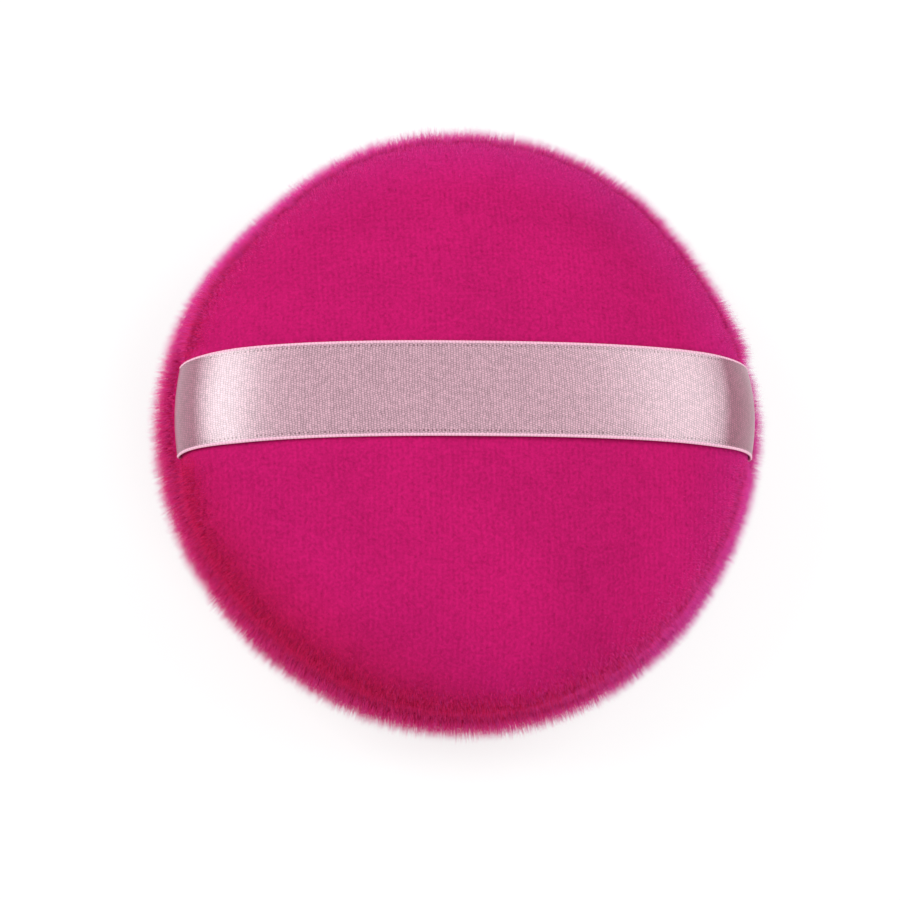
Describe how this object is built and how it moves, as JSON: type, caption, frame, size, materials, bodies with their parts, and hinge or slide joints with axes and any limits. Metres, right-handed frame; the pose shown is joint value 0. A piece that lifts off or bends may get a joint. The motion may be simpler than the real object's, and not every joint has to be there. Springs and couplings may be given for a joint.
{
  "type": "powder puff",
  "caption": "Round plump velour powder puff with a foam core and a satin ribbon band across its face for the fingers.",
  "frame": {"origin": "middle of the puff's plan, on the surface it rests on, back face down", "axes": "+Z out of the face that carries the ribbon, +X along the ribbon, +Y across it, up in the picture"},
  "size_m": [0.0799, 0.0806, 0.0262],
  "materials": {
    "velour": "matte",
    "satin": "satin",
    "foam": "matte",
    "thread": "matte"
  },
  "bodies": {
    "puff": {"back_cover": "velour", "front_cover": "velour", "foam_core": "foam", "ribbon_tail_left": "satin", "ribbon_tail_right": "satin", "seam_thread": "thread", "closing_thread": "thread"},
    "ribbon": {"ribbon_band": "satin"}
  },
  "joints": [
    {"name": "ribbon_lift", "type": "slide", "parent": "puff", "child": "ribbon", "axis": [0, 0, 1], "range_m": [0, 0.01]}
  ]
}
